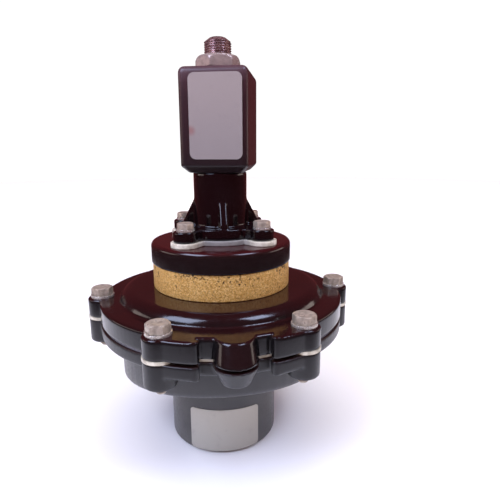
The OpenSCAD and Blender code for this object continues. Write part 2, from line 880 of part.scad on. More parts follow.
module guide_tube() {
    color("silver")
        difference() {
            union() {
                post(tube_foot_r, tube_foot_z, tube_foot_z + tube_foot_t);
                post(tube_r, tube_foot_z, tube_top_z);
            }
            post(tube_bore_r, tube_foot_z - overlap, tube_top_z + overlap);
        }
}

module tube_retainer() {
    color("#8c8c8c")
        ring(tube_foot_r, tube_r + fit_play, tube_foot_z + tube_foot_t, neck_top_z);
}

module tube_seal() {
    color("#202020")
        translate([0, 0, seal_ledge_z + tube_seal_section])
            rotate_extrude()
                translate([(socket_r + seal_ledge_r) / 2, 0])
                    circle(r = tube_seal_section);
}

module fixed_core() {
    groove_r = shading_ring_r + fit_play / 2;
    groove_bore = shading_ring_r - shading_ring_wall - fit_play / 2;
    color("#b8b0a4")
        difference() {
            union() {
                post(tube_bore_r - fit_play / 2, core_z, tube_top_z);
                post(stub_r, tube_top_z, top_z - stub_chamfer);
                translate([0, 0, top_z - stub_chamfer])
                    cylinder(r1 = stub_r, r2 = stub_flat_r, h = stub_chamfer);
            }
            post(plunger_pocket_r, core_z - overlap, core_z + core_pocket_h);
            ring(groove_r, groove_bore, core_z - overlap, core_z + shading_ring_h);
        }
}

module shading_ring() {
    color("#b87333")
        ring(shading_ring_r, shading_ring_r - shading_ring_wall, core_z, core_z + shading_ring_h);
}

module plunger() {
    color("#c0c0c8")
        difference() {
            post(tube_bore_r - plunger_play, plunger_z, plunger_top_z);
            post(plunger_seal_r + fit_play, plunger_z - overlap, plunger_z + plunger_seal_t);
            post(plunger_pocket_r, plunger_top_z - plunger_pocket_h, plunger_top_z + overlap);
        }
}

module plunger_seal() {
    color("#303030")
        post(plunger_seal_r, solenoid_seat_z, plunger_z + plunger_seal_t);
}

module plunger_spring() {
    spring_r = plunger_pocket_r - plunger_wire / 2 - run_gap;
    color("gainsboro")
        coil_spring(
            spring_r, spring_r, plunger_top_z - plunger_pocket_h, core_z + core_pocket_h,
            plunger_wire, 7, 16
        );
}

// Children at the four corners of the coil housing, drawn in by an amount
module at_coil_corners(inset) {
    for (x = [-1, 1], y = [inset - coil_front, coil_back - inset])
        translate([x * (coil_w / 2 - inset), y, 0])
            children();
}

// Moulded outside of the coil
module coil_shell() {
    hull() {
        at_coil_corners(coil_edge)
            translate([0, 0, coil_top_z - coil_edge])
                sphere(r = coil_edge, $fn = blend_fn);
        at_coil_corners(coil_edge)
            translate([0, 0, neck_top_z + coil_hip_h])
                cylinder(r = coil_edge, h = overlap, $fn = blend_fn);
        at_coil_corners(coil_edge + coil_hip_in)
            translate([0, 0, neck_top_z])
                cylinder(r = coil_edge, h = overlap, $fn = blend_fn);
    }
    translate([0, 0, neck_top_z + conduit_z])
        rotate([-right_angle, 0, 0])
            post(conduit_r + conduit_wall, coil_back - coil_edge, conduit_mouth_y);
}

// Children placed as the terminal blades stand
module at_blades() {
    for (turn = blade_turns)
        translate([turn * blade_pitch - blade_t / 2, 0, neck_top_z + conduit_z - blade_w / 2])
            children();
}

module coil_housing() {
    slack = fit_play;
    color("#3a1a22")
        rotate(coil_turn)
            difference() {
                coil_shell();
                post(coil_bore_r, neck_top_z - overlap, coil_top_z + overlap);
                post(bobbin_r + slack, yoke_low_z, yoke_top_z);
                translate([-yoke_w / 2 - slack, 0, yoke_low_z])
                    cube([yoke_w + 2 * slack, strap_y + yoke_t + slack, yoke_top_z - yoke_low_z]);
                translate([0, 0, neck_top_z + conduit_z])
                    rotate([-right_angle, 0, 0]) {
                        post(conduit_r, conduit_floor_y, conduit_mouth_y + overlap);
                        post(terminal_well_r, blade_foot_y, conduit_floor_y + overlap);
                    }
                at_blades()
                    translate([0, blade_foot_y - blade_root, 0])
                        cube([blade_t, blade_root + overlap, blade_w]);
            }
}

module coil_bobbin() {
    inner = coil_bore_r;
    color("#e8e4d8") {
        ring(inner + bobbin_wall, inner, bobbin_z, bobbin_top_z);
        ring(bobbin_r, inner, bobbin_z, bobbin_z + bobbin_wall);
        ring(bobbin_r, inner, bobbin_top_z - bobbin_wall, bobbin_top_z);
    }
}

module coil_winding() {
    color("#b87333")
        ring(
            winding_r, coil_bore_r + bobbin_wall + fit_play,
            bobbin_z + bobbin_wall, bobbin_top_z - bobbin_wall
        );
}

module coil_yoke() {
    color("#9a9a9a")
        rotate(coil_turn) {
            ring(bobbin_r, coil_bore_r, yoke_low_z, bobbin_z);
            ring(bobbin_r, coil_bore_r, bobbin_top_z, yoke_top_z);
            difference() {
                translate([-yoke_w / 2, coil_bore_r, yoke_low_z])
                    cube([yoke_w, strap_y + yoke_t - coil_bore_r, yoke_top_z - yoke_low_z]);
                post(bobbin_r + fit_play, bobbin_z, bobbin_top_z);
                post(bobbin_r - overlap, yoke_low_z - overlap, yoke_top_z + overlap);
            }
        }
}

module coil_terminals() {
    color("#c8a850")
        rotate(coil_turn)
            at_blades()
                translate([0, blade_foot_y - blade_root, 0])
                    cube([blade_t, blade_root + blade_l, blade_w]);
}

module coil_washer() {
    color("silver")
        ring(coil_washer_r, stub_r + fit_play, coil_top_z, coil_nut_z);
}

module coil_nut() {
    corner_r = hex_r(coil_nut_hex);
    color("#a89c8c")
        rotate(coil_nut_turn)
            difference() {
                intersection() {
                    translate([0, 0, coil_nut_z])
                        cylinder(r = corner_r, h = coil_nut_h, $fn = 6);
                    union() {
                        post(corner_r + overlap, coil_nut_z - overlap, stub_z - coil_nut_chamfer);
                        translate([0, 0, stub_z - coil_nut_chamfer])
                            cylinder(
                                r1 = corner_r + overlap, r2 = coil_nut_hex / 2 - overlap,
                                h = coil_nut_chamfer
                            );
                    }
                }
                post(stub_r + fit_play / 2, coil_nut_z - overlap, stub_z + overlap);
            }
}

valve_body();
main_diaphragm();
lower_clamp_plate();
upper_clamp_plate();
centre_bolt();
centre_nut();
main_spring();
top_cover();
cover_bolts();
cover_washers();
silencer_ring();
exhaust_housing();
nozzle_seal();
pilot_diaphragm();
pilot_plate();
pilot_rivet();
pilot_spring();
pilot_body();
pilot_bolts();
pilot_washers();
guide_tube();
tube_retainer();
tube_seal();
fixed_core();
shading_ring();
plunger();
plunger_seal();
plunger_spring();
coil_housing();
coil_bobbin();
coil_winding();
coil_yoke();
coil_terminals();
coil_washer();
coil_nut();
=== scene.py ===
import math

import bmesh
import bpy
import numpy as np
from mathutils import Matrix, Vector, kdtree


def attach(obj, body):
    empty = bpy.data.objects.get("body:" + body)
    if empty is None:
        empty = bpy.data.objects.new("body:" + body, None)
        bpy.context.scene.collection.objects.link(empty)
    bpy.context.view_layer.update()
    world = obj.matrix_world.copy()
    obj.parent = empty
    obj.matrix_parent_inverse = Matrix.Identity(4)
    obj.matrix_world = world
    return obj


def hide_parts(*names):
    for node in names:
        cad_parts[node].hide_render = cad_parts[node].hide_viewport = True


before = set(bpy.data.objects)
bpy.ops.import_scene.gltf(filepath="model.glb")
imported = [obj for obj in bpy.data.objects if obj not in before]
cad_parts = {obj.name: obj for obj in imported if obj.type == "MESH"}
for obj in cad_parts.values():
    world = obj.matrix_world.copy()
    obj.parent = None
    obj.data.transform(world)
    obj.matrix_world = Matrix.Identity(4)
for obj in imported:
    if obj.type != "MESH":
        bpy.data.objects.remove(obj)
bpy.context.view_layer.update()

MM = 0.001
SEED = 41

# Sizes in millimetres, as in the construction
BOLT_CIRCLE = 85.0
COVER_TOP = 107.8
COVER_WASHER, PILOT_WASHER = 1.6, 1.4
PILOT_BOLT_SPACING = 25.3
PILOT_FLANGE_TOP = 157.4
M8_BOLT = {"radius": 4.0, "length": 38.0, "flats": 13.0, "height": 5.3, "pitch": 1.25, "thread_length": 18.0}
M6_BOLT = {"radius": 3.0, "length": 43.0, "flats": 10.0, "height": 4.0, "pitch": 1.0, "thread_length": 16.0}
RING_LOW, RING_HIGH = 115.0, 132.7
RING_RADIUS, RING_BORE = 48.7, 42.0
PORT_RADIUS = 28.33
PORT_THREAD_DEPTH, PORT_THREAD_PITCH = 0.9, 2.309
INLET_END, INLET_HEIGHT = 104.0, 48.0
BARREL_RADIUS = 39.0
COIL_TURN = math.radians(-15.0)
COIL_FRONT = 22.5
NUT_FOOT, NUT_TOP, NUT_FLATS = 261.3, 269.5, 26.0
STUB_TOP = 280.6

# Sizes in millimetres and turns in degrees of what is only made here
COVER_BOLT_TURNS = (14, 41, 8, -14, 25, 7)
PILOT_BOLT_TURNS = (12, 20, 33, 5)
NUT_TURN = 34
RINGS_PER_PITCH = 8
LABEL_LIFT, LABEL_THICKNESS = 0.03, 0.3
LABEL_SIDE = 1.8
COIL_LABEL_FOOT = 203.0
BARREL_LABEL_FOOT, BARREL_LABEL_TURN = 1.8, -94.2


def linear(colour):
    """Linear red, green, blue and alpha of an sRGB hex colour."""
    parts = [int(colour[i:i + 2], 16) / 255 for i in (1, 3, 5)]
    return (*[c / 12.92 if c <= 0.04045 else ((c + 0.055) / 1.055) ** 2.4 for c in parts], 1.0)


def per(size):
    """Texture scale that makes one feature of a pattern this many millimetres wide."""
    return 1000.0 / size


def put(finish, kind, sockets, **switches):
    """Adds one shader node to a finish. Sockets take values or other nodes' outputs."""
    made = finish.node_tree.nodes.new("ShaderNode" + kind)
    for name, value in switches.items():
        setattr(made, name, value)
    for name, value in sockets.items():
        if isinstance(value, bpy.types.NodeSocket):
            finish.node_tree.links.new(value, made.inputs[name])
        else:
            made.inputs[name].default_value = value
    return made


def empty_finish(name):
    """A new finish with no nodes yet."""
    finish = bpy.data.materials.new(name)
    finish.use_nodes = True
    finish.node_tree.nodes.clear()
    return finish


def start_finish(name, colour, roughness, metallic=0.0, **sockets):
    """A new finish with its surface shader, and the place and facing of each point."""
    finish = empty_finish(name)
    shader = put(finish, "BsdfPrincipled", {
        "Base Color": linear(colour), "Roughness": roughness, "Metallic": metallic, **sockets})
    put(finish, "OutputMaterial", {"Surface": shader.outputs["BSDF"]})
    place = put(finish, "TexCoord", {})
    return finish, shader, place.outputs["Object"], place.outputs["Normal"]


def join(finish, output, shader, socket):
    finish.node_tree.links.new(output, shader.inputs[socket])


def ramp(finish, factor, *stops):
    """Colours between stops given as (position, hex colour)."""
    made = put(finish, "ValToRGB", {"Fac": factor})
    band = made.color_ramp.elements
    while len(band) < len(stops):
        band.new(0.5)
    for step, (position, colour) in zip(band, stops):
        step.position, step.color = position, linear(colour)
    return made.outputs["Color"]


def between(finish, value, low, high, to_low=0.0, to_high=1.0):
    """Rescales a value from one range to another, with soft ends."""
    return put(finish, "MapRange", {
        "Value": value, "From Min": low, "From Max": high, "To Min": to_low, "To Max": to_high,
    }, interpolation_type="SMOOTHSTEP").outputs["Result"]


def blend(finish, factor, first, second):
    """Colour mix of two colours by a factor."""
    return put(finish, "Mix", {0: factor, 6: first, 7: second}, data_type="RGBA").outputs[2]


def product(finish, first, second):
    return put(finish, "Math", {0: first, 1: second}, operation="MULTIPLY").outputs[0]


def relief(finish, shader, height, depth, edge=0.0):
    """Fine relief of a surface, depth in millimetres, over edges worn round by a radius."""
    sockets = {"Height": height, "Distance": depth * MM, "Strength": 1.0}
    if edge:
        sockets["Normal"] = put(finish, "Bevel", {"Radius": edge * MM}, samples=4).outputs["Normal"]
    join(finish, put(finish, "Bump", sockets).outputs["Normal"], shader, "Normal")


# Finishes

def stoved_enamel(name, wall, top, roughness, peel):
    """Black stoving enamel sprayed on cast aluminium: deep, glossy, faint orange peel."""
    finish, shader, place, facing = start_finish(name, wall, roughness, IOR=1.5)
    up = put(finish, "SeparateXYZ", {"Vector": facing}).outputs["Z"]
    cloud = put(finish, "TexNoise", {"Vector": place, "Scale": per(14), "Detail": 4.0}).outputs["Fac"]
    # Up-facing surfaces take the top colour, a painted reflection of the dark red room; the wall colour is
    # the enamel's own black.
    colour = blend(finish, between(finish, up, 0.15, 0.85), linear(wall), linear(top))
    colour = blend(finish, between(finish, cloud, 0.35, 0.75, 0.0, 0.35), colour, linear("#100b0c"))
    dust = put(finish, "TexVoronoi", {"Vector": place, "Scale": per(3.2)}).outputs["Distance"]
    speck = between(finish, dust, 0.0, 0.07, 1.0, 0.0)
    where = put(finish, "TexNoise", {"Vector": place, "Scale": per(9), "Detail": 2.0}).outputs["Fac"]
    speck = product(finish, speck, between(finish, where, 0.55, 0.7, 0.0, 0.5))
    join(finish, blend(finish, speck, colour, linear("#b9aaa2")), shader, "Base Color")
    grime = put(finish, "TexNoise", {"Vector": place, "Scale": per(5), "Detail": 5.0}).outputs["Fac"]
    join(finish, between(finish, grime, 0.3, 0.8, roughness * 0.8, roughness * 1.5), shader, "Roughness")
    skin = put(finish, "TexNoise", {"Vector": place, "Scale": per(peel), "Detail": 2.0}).outputs["Fac"]
    relief(finish, shader, skin, 0.02)
    return finish


def satin_enamel():
    """The same enamel baked thinner on the sand-cast body: satin, the mould's grain shows through."""
    finish, shader, place, facing = start_finish("satin_enamel_on_sand_casting", "#2b2a2c", 0.33, IOR=1.5)
    height = put(finish, "SeparateXYZ", {"Vector": place}).outputs["Z"]
    up = put(finish, "SeparateXYZ", {"Vector": facing}).outputs["Z"]
    # Lighter low down and darker towards the top: a painted reflection of the pale floor on the walls.
    wall = ramp(finish, between(finish, height, 0.0, 0.093),
                (0.0, "#4e4d4b"), (0.45, "#3a3939"), (0.75, "#2f2e2f"), (0.92, "#1d1c1d"), (1.0, "#151415"))
    cloud = put(finish, "TexNoise", {"Vector": place, "Scale": per(22), "Detail": 5.0}).outputs["Fac"]
    colour = blend(finish, between(finish, cloud, 0.35, 0.75, 0.0, 0.45), wall, linear("#1f1c1e"))
    # Up-facing surfaces turn dark red: a painted reflection of the dark red room.
    colour = blend(finish, between(finish, up, 0.4, 0.9), colour, linear("#22100f"))
    dust = put(finish, "TexVoronoi", {"Vector": place, "Scale": per(4.5)}).outputs["Distance"]
    speck = between(finish, dust, 0.0, 0.06, 0.5, 0.0)
    join(finish, blend(finish, speck, colour, linear("#a39c95")), shader, "Base Color")
    sand = put(finish, "TexNoise", {"Vector": place, "Scale": per(1.4), "Detail": 4.0}).outputs["Fac"]
    join(finish, between(finish, sand, 0.3, 0.8, 0.28, 0.46), shader, "Roughness")
    relief(finish, shader, sand, 0.04)
    return finish


def sintered_bronze():
    """Bronze grains pressed and sintered: each grain's random lighter tone is a painted glint, and the pores
    between grains get painted shade.
    """
    finish, shader, place, _ = start_finish("sintered_bronze_grains", "#c8974a", 0.5, 0.35)
    height = put(finish, "SeparateXYZ", {"Vector": place}).outputs["Z"]
    grain = put(finish, "TexVoronoi", {"Vector": place, "Scale": per(0.8)})
    tone = put(finish, "SeparateColor", {"Color": grain.outputs["Color"]}).outputs["Red"]
    # Each grain a little lighter or darker at random: painted glints.
    colour = ramp(finish, tone, (0.0, "#c6984f"), (0.5, "#dcae60"), (1.0, "#edc782"))
    # Darker between the grains: painted shade in the pores.
    colour = blend(finish, between(finish, grain.outputs["Distance"], 0.45, 0.85, 0.0, 0.5),
                   colour, linear("#8a6430"))
    soot = put(finish, "TexNoise", {"Vector": place, "Scale": per(2.2), "Detail": 3.0}).outputs["Fac"]
    near_top = between(finish, height, 0.121, 0.1315, 0.66, 0.55)
    black = between(finish, put(finish, "Math", {0: soot, 1: near_top}, operation="SUBTRACT").outputs[0],
                    0.0, 0.05, 0.0, 0.9)
    patch = put(finish, "TexNoise", {"Vector": place, "Scale": per(15), "Detail": 2.0}).outputs["Fac"]
    black = product(finish, black, between(finish, patch, 0.4, 0.6))
    join(finish, blend(finish, black, colour, linear("#2a1c10")), shader, "Base Color")
    fine = put(finish, "TexNoise", {"Vector": place, "Scale": per(0.35), "Detail": 2.0}).outputs["Fac"]
    relief(finish, shader, fine, 0.04)
    return finish


def plated_steel(name, light, dark, roughness, metallic=0.85):
    """Cold-formed steel, zinc plated and dulled by handling: satin, cloudy, grime in small scattered pits."""
    finish, shader, place, _ = start_finish(name, light, roughness, metallic)
    cloud = put(finish, "TexNoise", {"Vector": place, "Scale": per(3), "Detail": 6.0}).outputs["Fac"]
    colour = ramp(finish, cloud, (0.3, dark), (0.6, light))
    pit = put(finish, "TexVoronoi", {"Vector": place, "Scale": per(1.6)}).outputs["Distance"]
    colour = blend(finish, between(finish, pit, 0.0, 0.16, 0.5, 0.0), colour, linear("#3a2c2a"))
    join(finish, colour, shader, "Base Color")
    join(finish, between(finish, cloud, 0.3, 0.7, roughness * 1.25, roughness * 0.8), shader, "Roughness")
    relief(finish, shader, cloud, 0.04, 0.35)
    return finish


def rubber(name, colour, dark, roughness, painted_light=None):
    """Moulded nitrile rubber: dull, faintly mottled. Painted light, when given, is a mask for a grey laid
    over it: painted shade on one gasket, a painted reflection on the other.
    """
    finish, shader, place, _ = start_finish(name, colour, roughness, IOR=1.52)
    cloud = put(finish, "TexNoise", {"Vector": place, "Scale": per(4), "Detail": 5.0}).outputs["Fac"]
    tone = ramp(finish, cloud, (0.35, dark), (0.6, colour))
    if painted_light:
        # The grey is painted light: painted shade in the main joint, a painted reflection on the pilot
        # gasket.
        tone = blend(finish, painted_light(finish, place), tone, linear("#6a696f"))
    join(finish, tone, shader, "Base Color")
    relief(finish, shader, cloud, 0.03)
    return finish


def painted_shade_between_lugs(finish, place):
    """Painted shade, full between the lugs, where the cloth's edge lies back in the joint; none on the ears
    and in front.
    """
    flat = put(finish, "VectorMath", {0: place, 1: Vector((1, 1, 0))}, operation="MULTIPLY").outputs["Vector"]
    reach = put(finish, "VectorMath", {0: flat}, operation="LENGTH").outputs["Value"]
    behind = put(finish, "SeparateXYZ", {"Vector": place}).outputs["Y"]
    return product(finish, between(finish, reach, 0.0846, 0.0858, 1.0, 0.0),
                   between(finish, behind, -0.076, -0.068))


def painted_reflection_in_the_middle(finish, place):
    """Painted reflection, full in the middle of the front edge, none at the lugs."""
    axes = put(finish, "SeparateXYZ", {"Vector": place}).outputs
    side = put(finish, "Math", {0: axes["X"]}, operation="ABSOLUTE").outputs[0]
    return between(finish, side, 0.012, 0.019, 0.75, 0.0)


def moulded_coil():
    """Dark red-brown epoxy moulded round the coil: satin skin with faint flow marks."""
    finish, shader, place, facing = start_finish("moulded_epoxy", "#3a1a20", 0.38, IOR=1.5)
    height = put(finish, "SeparateXYZ", {"Vector": place}).outputs["Z"]
    across = put(finish, "SeparateXYZ", {"Vector": facing}).outputs["X"]
    # Darker towards the foot and lighter along the top edge: painted shade low down and a painted highlight
    # on the top edge.
    colour = ramp(finish, between(finish, height, 0.194, 0.2605),
                  (0.0, "#170c0f"), (0.15, "#220c11"), (0.8, "#2a0f15"), (0.94, "#33171d"), (1.0, "#4a3238"))
    # Surfaces facing the +X side turn red: a painted reflection of the dark red room.
    colour = blend(finish, between(finish, across, 0.5, 0.95, 0.0, 0.8), colour, linear("#330b0f"))
    flow = put(finish, "TexNoise", {"Vector": place, "Scale": per(9), "Detail": 5.0}).outputs["Fac"]
    colour = blend(finish, between(finish, flow, 0.4, 0.8, 0.0, 0.3), colour, linear("#1d0e12"))
    join(finish, colour, shader, "Base Color")
    spark = put(finish, "TexNoise", {"Vector": place, "Scale": per(0.7), "Detail": 2.0}).outputs["Fac"]
    relief(finish, shader, spark, 0.02)
    return finish


def bare_label(name, base, shade, low, high, smudge=None):
    """Matt printed film with nothing on it: flat grey, slightly dirty, darker where it was rubbed, with
    painted shade towards the bottom.
    """
    finish, shader, place, _ = start_finish(name, base, 0.55, IOR=1.5)
    height = put(finish, "SeparateXYZ", {"Vector": place}).outputs["Z"]
    # Darker towards the bottom: painted shade under light from above.
    colour = blend(finish, between(finish, height, low * MM, high * MM), linear(shade), linear(base))
    dirt = put(finish, "TexNoise", {"Vector": place, "Scale": per(9), "Detail": 6.0}).outputs["Fac"]
    colour = blend(finish, between(finish, dirt, 0.55, 0.8, 0.0, 0.22), colour, linear("#6d6264"))
    if smudge:
        spot = put(finish, "VectorMath", {0: place, 1: Vector(smudge) * MM}, operation="DISTANCE")
        near = between(finish, spot.outputs["Value"], 0.001, 0.0045, 0.6, 0.0)
        colour = blend(finish, near, colour, linear("#7b3a38"))
    join(finish, colour, shader, "Base Color")
    film = put(finish, "TexNoise", {"Vector": place, "Scale": per(1.2), "Detail": 3.0}).outputs["Fac"]
    relief(finish, shader, film, 0.015)
    return finish


def plain_metal(name, light, dark, roughness, size):
    """Machined or drawn metal of the inner pieces: clean, with fine tool marks."""
    finish, shader, place, _ = start_finish(name, light, roughness, 1.0)
    marks = put(finish, "TexNoise", {"Vector": place, "Scale": per(size), "Detail": 4.0}).outputs["Fac"]
    join(finish, ramp(finish, marks, (0.3, dark), (0.65, light)), shader, "Base Color")
    join(finish, between(finish, marks, 0.3, 0.7, roughness * 1.3, roughness * 0.8), shader, "Roughness")
    relief(finish, shader, marks, 0.02)
    return finish


def wound_copper():
    """Enamelled copper wire wound in layers: each turn has a painted highlight on its crest and painted shade
    between turns.
    """
    finish, shader, place, _ = start_finish("wound_copper_wire", "#b5642f", 0.3, 1.0)
    # The wire is 0.35 mm; its turns are drawn several times as far apart so that they show.
    turns = put(finish, "TexWave", {"Vector": place, "Scale": per(1.0) / 6.283, "Distortion": 0.2},
                wave_type="BANDS", bands_direction="Z").outputs["Fac"]
    # Dark and light bands along each turn: painted shade and painted highlight.
    join(finish, ramp(finish, turns, (0.1, "#6a3112"), (0.6, "#c87a3f")), shader, "Base Color")
    relief(finish, shader, turns, 0.15)
    return finish


# The second colour of each enamel is a painted reflection of the dark red room, laid on up-facing surfaces.
cover_gloss = stoved_enamel("glossy_enamel_on_die_casting", "#121011", "#1d090a", 0.14, 2.4)
exhaust_gloss = stoved_enamel("glossy_enamel_on_exhaust_casting", "#180f0f", "#300c0e", 0.15, 2.4)
neck_gloss = stoved_enamel("wet_gloss_enamel_on_pilot_casting", "#0c0507", "#120709", 0.07, 1.8)
body_satin = satin_enamel()
bronze = sintered_bronze()
bolt_steel = plated_steel("dulled_zinc_on_bolts", "#bfb2a2", "#8f8377", 0.34, 0.5)
washer_steel = plated_steel("bright_zinc_on_washers", "#e2dcd2", "#b3a99f", 0.24, 0.7)
nut_nickel = plated_steel("satin_nickel_on_nut", "#b09d97", "#97857f", 0.36, 0.5)
stub_steel = plated_steel("turned_steel_stub", "#c4a8a6", "#85666a", 0.24, 0.85)
# The main joint's cloth gets painted shade between the lugs, the pilot gasket a painted reflection in the
# middle of its front.
joint_rubber = rubber("cream_nitrile_on_cloth", "#d0c9b8", "#a79f8d", 0.42, painted_shade_between_lugs)
pilot_rubber = rubber("cream_nitrile_moulded", "#d8d0c0", "#b3ab9b", 0.4, painted_reflection_in_the_middle)
black_rubber = rubber("black_nitrile", "#232021", "#171516", 0.5)
coil_epoxy = moulded_coil()
# The second colour of each label is painted shade at its foot.
label_on_coil = bare_label(
    "matt_film_on_coil", "#877a77", "#7d7372", COIL_LABEL_FOOT, 256, smudge=(-19.4, -17.0, 221))
label_on_barrel = bare_label("matt_film_on_barrel", "#b0ada3", "#a3a198", 1, 33)
spring_wire = plain_metal("oiled_spring_wire", "#8f9094", "#5f6064", 0.28, 1.5)
zinc_sheet = plain_metal("zinc_plated_sheet", "#b4b6b8", "#8a8c90", 0.34, 2.0)
aluminium = plain_metal("turned_aluminium", "#c4c6c8", "#a2a5a8", 0.3, 1.2)
brass = plain_metal("turned_brass", "#c9a455", "#a1803a", 0.28, 1.2)
stainless = plain_metal("drawn_stainless_tube", "#b7b8ba", "#94969a", 0.22, 0.9)
copper_ring = plain_metal("bare_copper_ring", "#bf7a4c", "#8f5330", 0.3, 0.8)
nylon = rubber("natural_nylon_bobbin", "#dcd6c6", "#cbc4b2", 0.4)
copper_wire = wound_copper()

FINISHES = {
    "valve_body": body_satin, "top_cover": cover_gloss, "exhaust_housing": exhaust_gloss,
    "pilot_body": neck_gloss, "coil_housing": coil_epoxy, "coil_nut": nut_nickel,
    "main_diaphragm": joint_rubber, "pilot_diaphragm": pilot_rubber,
    "cover_bolts": bolt_steel, "pilot_bolts": bolt_steel,
    "cover_washers": washer_steel, "pilot_washers": washer_steel,
    "silencer_ring": bronze, "fixed_core": stub_steel, "coil_washer": spring_wire,
    "main_spring": spring_wire, "pilot_spring": spring_wire, "plunger_spring": spring_wire,
    "lower_clamp_plate": zinc_sheet, "upper_clamp_plate": zinc_sheet,
    "centre_bolt": bolt_steel, "centre_nut": bolt_steel,
    "nozzle_seal": black_rubber, "tube_seal": black_rubber, "plunger_seal": black_rubber,
    "pilot_plate": aluminium, "pilot_rivet": brass, "guide_tube": stainless,
    "tube_retainer": zinc_sheet, "shading_ring": copper_ring, "plunger": stainless,
    "coil_bobbin": nylon, "coil_winding": copper_wire, "coil_yoke": zinc_sheet,
    "coil_terminals": brass,
}
for name, finish in FINISHES.items():
    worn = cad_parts[name].data.materials
    worn.clear()
    worn.append(finish)


# Edges of the castings and mouldings

def round_edges(name, grain, passes, share):
    """Gives a cast or moulded piece the rounded edges and inner fillets of its mould, in millimetres."""
    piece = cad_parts[name]
    skin = piece.modifiers.new("mould_skin", "REMESH")
    skin.mode, skin.voxel_size, skin.use_smooth_shade = "VOXEL", grain * MM, True
    soft = piece.modifiers.new("mould_fillets", "SMOOTH")
    soft.factor, soft.iterations = 0.5, passes
    thin = piece.modifiers.new("fewer_faces", "DECIMATE")
    thin.ratio = share


round_edges("valve_body", 0.8, 6, 0.35)
round_edges("top_cover", 0.7, 6, 0.35)
round_edges("exhaust_housing", 0.5, 4, 0.35)
round_edges("pilot_body", 0.4, 36, 0.5)
round_edges("pilot_diaphragm", 0.35, 6, 0.5)
round_edges("coil_housing", 0.6, 16, 0.5)


# Pieces made here

def make_piece(name, form, finish, body, stands_for=(), smooth=40.0):
    """Turns a built form (metres) into a piece that rides a body, with edges over an angle kept sharp."""
    bmesh.ops.remove_doubles(form, verts=form.verts, dist=1e-7)
    bmesh.ops.recalc_face_normals(form, faces=form.faces)
    for face in form.faces:
        face.smooth = True
    for edge in form.edges:
        if len(edge.link_faces) == 2 and edge.calc_face_angle(0) > math.radians(smooth):
            edge.smooth = False
    mesh = bpy.data.meshes.new(name)
    form.to_mesh(mesh)
    form.free()
    mesh.materials.append(finish)
    made = bpy.data.objects.new(name, mesh)
    bpy.context.scene.collection.objects.link(made)
    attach(made, body)
    if stands_for:
        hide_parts(*stands_for)


def add_rings(form, rings, closed=True, place=Matrix.Identity(4)):
    """Skins a list of rings of points (millimetres); a single-point ring closes an end."""
    made = [[form.verts.new(place @ (Vector(p) * MM)) for p in ring] for ring in rings]
    pairs = list(zip(made, made[1:])) + ([(made[-1], made[0])] if closed else [])
    for low, high in pairs:
        n = max(len(low), len(high))
        for i in range(n):
            below = [low[i % len(low)], low[(i + 1) % len(low)]]
            above = [high[(i + 1) % len(high)], high[i % len(high)]]
            corner = list(dict.fromkeys(below + above))
            if len(corner) > 2:
                form.faces.new(corner)
    return form


def circle(radius, z, steps=72):
    """Ring of points; the radius may be a function of the angle."""
    at = radius if callable(radius) else (lambda a: radius)
    turns = [math.tau * i / steps for i in range(steps)]
    return [(at(a) * math.cos(a), at(a) * math.sin(a), z) for a in turns]


def thread_radius(crest, depth, pitch):
    """Radius of a screw thread at an angle and a height."""
    def at(angle, z):
        phase = (z / pitch - angle / math.tau) % 1.0
        return crest - depth * min(1.0, max(0.0, abs(2 * phase - 1) * 1.5 - 0.25))
    return at


def thread_rings(crest, depth, pitch, low, high, run_out, steps=72):
    """Rings of a screw thread that fades in and out at its ends."""
    at = thread_radius(crest, depth, pitch)
    count = max(2, round((high - low) / pitch * RINGS_PER_PITCH))
    rings = []
    for k in range(count + 1):
        z = low + (high - low) * k / count
        fade = max(0.0, min(1.0, (z - low) / run_out, (high - z) / run_out))
        rings.append(circle(lambda a: crest - depth + (at(a, z) - crest + depth) * fade, z, steps))
    return rings


def hexagon(flats, turn):
    """Radius of a hexagon at an angle."""
    def at(angle):
        local = (angle - turn + math.pi / 6) % (math.pi / 3) - math.pi / 6
        return flats / 2 / math.cos(local)
    return at


def hex_head(flats, height, turn, z, steps=72):
    """Rings of a hexagon head with the cone-turned corners of a cold-formed bolt."""
    corner = hexagon(flats, turn)
    face = flats / 2 * 0.94
    drop = math.tan(math.radians(27))
    dish, soft, foot = 0.25, 0.12, 0.25

    def shoulder(share, lift):
        points = []
        for a in [math.tau * i / steps for i in range(steps)]:
            r = corner(a)
            sink = max(0.0, r - face) * drop
            points.append((r * math.cos(a) * share, r * math.sin(a) * share, z + height - sink + lift))
        return points

    return [
        [(0, 0, z + height - dish)],
        circle(flats * 0.30, z + height - dish, steps),
        circle(flats * 0.36, z + height, steps),
        circle(face, z + height, steps),
        shoulder(0.985, soft),
        shoulder(1.0, -soft),
        circle(corner, z + foot, steps),
        circle(lambda a: corner(a) - foot, z, steps),
    ]


def screw(form, seat, turn, place, radius, length, flats, height, pitch, thread_length):
    """One bolt from its head down to the chamfered tip."""
    tip = seat - length
    shank = tip + thread_length
    threads = thread_rings(radius, pitch * 0.55, pitch, tip + 1.0, shank, run_out=0.4)
    rings = hex_head(flats, height, turn, seat)
    rings += [circle(radius, seat), circle(radius, shank)]
    rings += reversed(threads)
    rings += [circle(radius * 0.72, tip), [(0, 0, tip)]]
    add_rings(form, rings, closed=False, place=place)


def make_cover_bolts():
    """Six M8 bolts round the cover, each left at its own angle by the spanner."""
    form = bmesh.new()
    for i, turn in enumerate(COVER_BOLT_TURNS):
        angle = math.radians(60 * i)
        place = Matrix.Translation(Vector((math.cos(angle), math.sin(angle), 0)) * BOLT_CIRCLE * MM)
        screw(form, COVER_TOP + COVER_WASHER, math.radians(turn), place, **M8_BOLT)
    make_piece("cover_bolts_threaded", form, bolt_steel, "housing", ["cover_bolts"])


